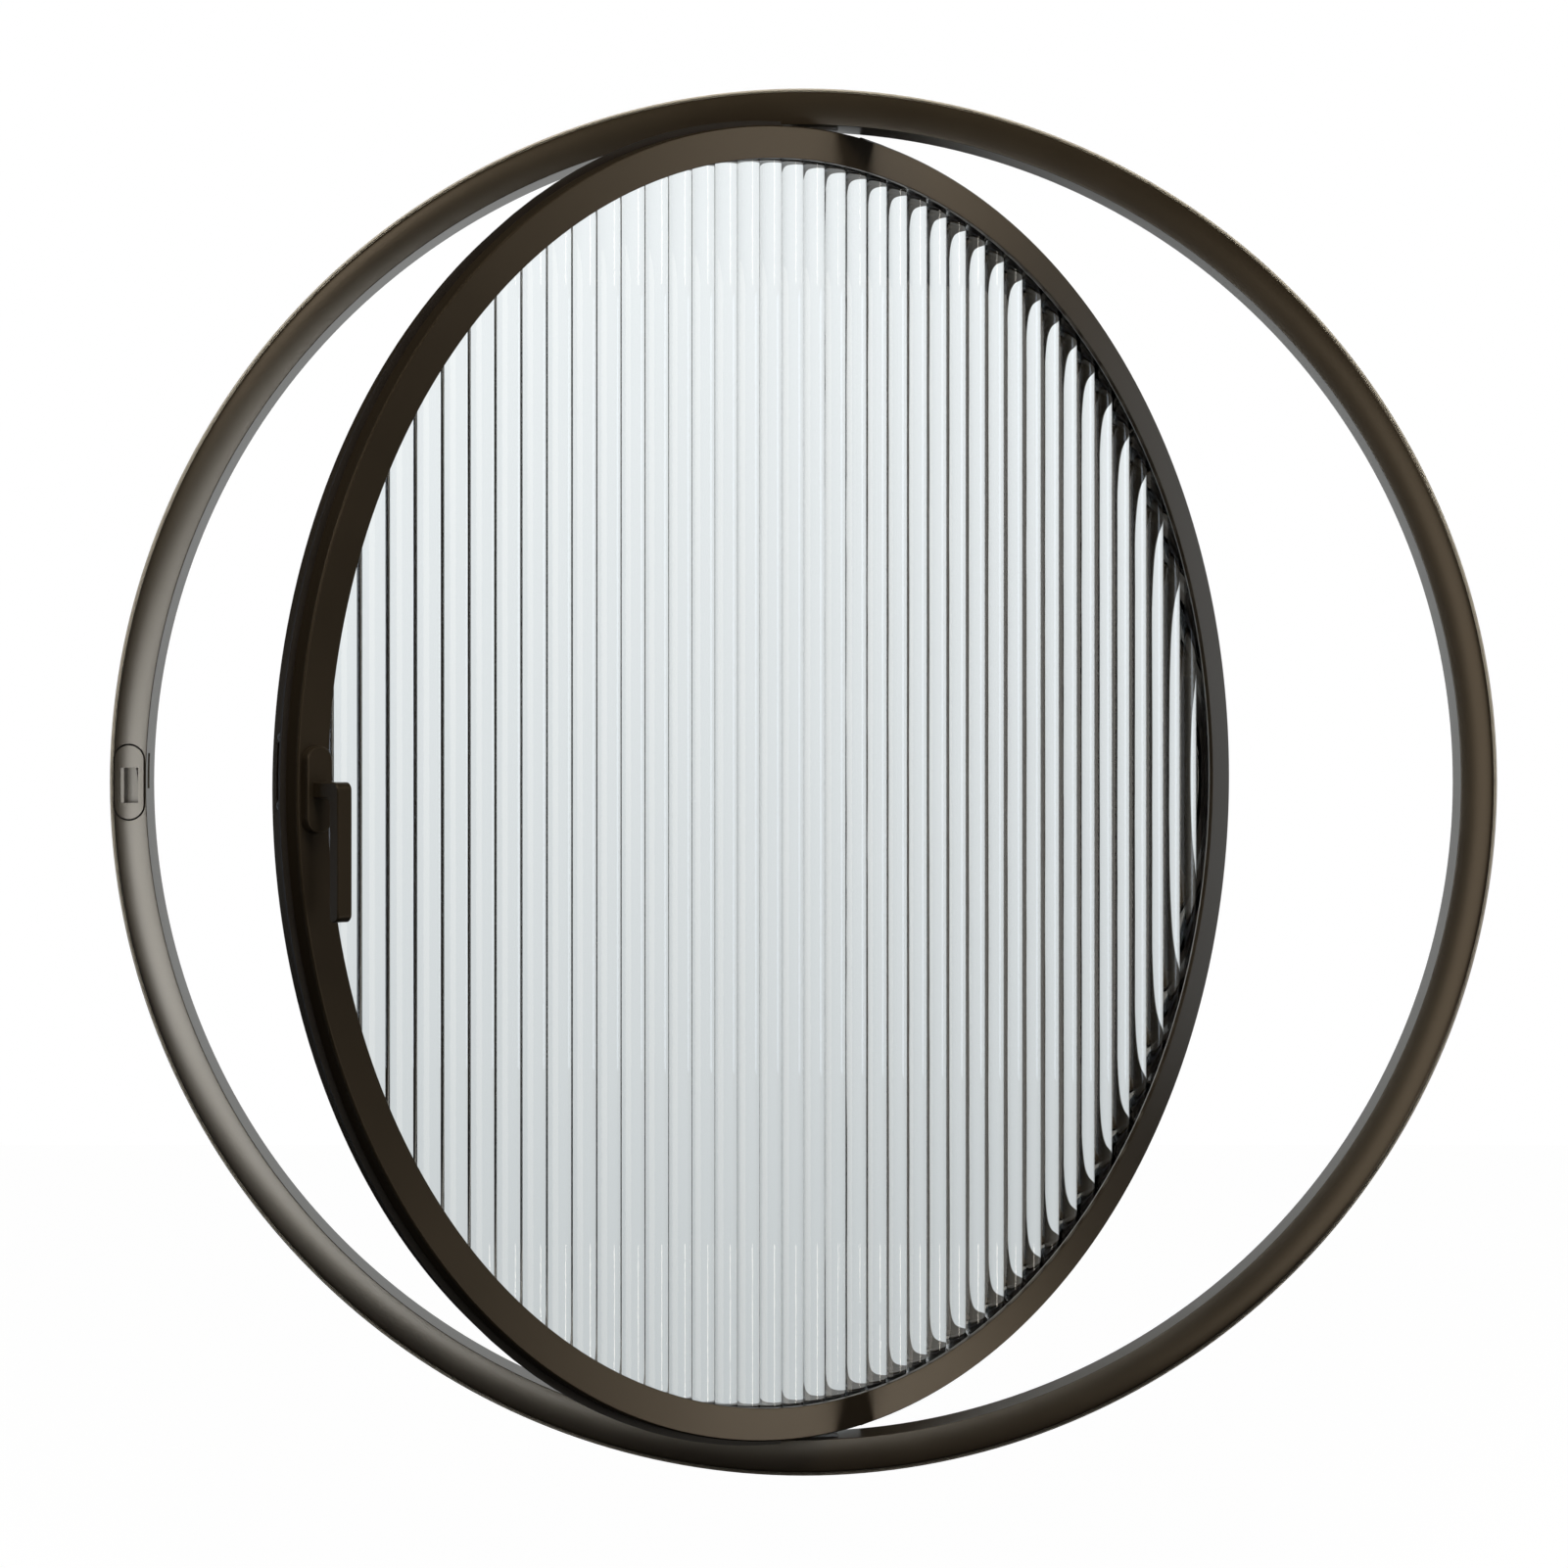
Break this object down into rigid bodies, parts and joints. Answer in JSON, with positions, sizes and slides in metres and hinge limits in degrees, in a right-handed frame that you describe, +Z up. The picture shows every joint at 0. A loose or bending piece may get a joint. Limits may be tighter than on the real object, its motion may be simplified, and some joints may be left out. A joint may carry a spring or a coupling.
{
  "type": "porthole window",
  "caption": "Round centre-pivot window: a ring frame for a round wall opening and a fluted-glass sash with a lever handle that turns on an upright axis.",
  "frame": {"origin": "centre of the round wall opening, in the plane of the wall's room face", "axes": "+Y along the window's axis, out of the room through the wall; +Z up, along the pivots; +X to the right as the room sees it"},
  "size_m": [1.2066, 0.8423, 1.2068],
  "materials": {
    "bronze": "satin bronze-brown coating",
    "steel": "plain",
    "bush": "smooth bearing plastic",
    "block": "matte",
    "glass": "clear, fluted on one face",
    "grey_rubber": "matte",
    "black_rubber": "matte",
    "cream": "matte"
  },
  "bodies": {
    "frame": {"outer_frame": "bronze", "wall_seal": "cream", "strike_plate": "bronze", "strike_box": "bronze", "pivot_socket_top": "steel", "pivot_socket_bottom": "steel", "pivot_bush_top": "bush", "pivot_bush_bottom": "bush", "thrust_washer": "bush", "stop_pin": "steel", "fixing_straps": "steel"},
    "sash": {"sash_frame": "bronze", "fluted_glass": "glass", "front_gasket": "grey_rubber", "rear_gasket": "black_rubber", "glazing_bead": "bronze", "setting_blocks": "block", "sash_seals": "black_rubber", "pivot_shoe_top": "steel", "pivot_shoe_bottom": "steel", "pivot_pin_top": "steel", "pivot_pin_bottom": "steel", "latch_case": "bronze", "handle_base_plate": "steel", "handle_cover": "bronze"},
    "handle": {"handle_lever": "bronze", "latch_spindle": "steel", "grub_screw": "steel"}
  },
  "joints": [
    {"name": "sash_pivot", "type": "hinge", "parent": "frame", "child": "sash", "pos_m": [0, 0.019, 0], "axis": [0, 0, 1], "range_deg": [-45, 45]},
    {"name": "handle_turn", "type": "hinge", "parent": "sash", "child": "handle", "pos_m": [-0.3631, -0.39572, 0.0005], "axis": [0.7071, -0.7071, 0], "range_deg": [0, 90]}
  ]
}
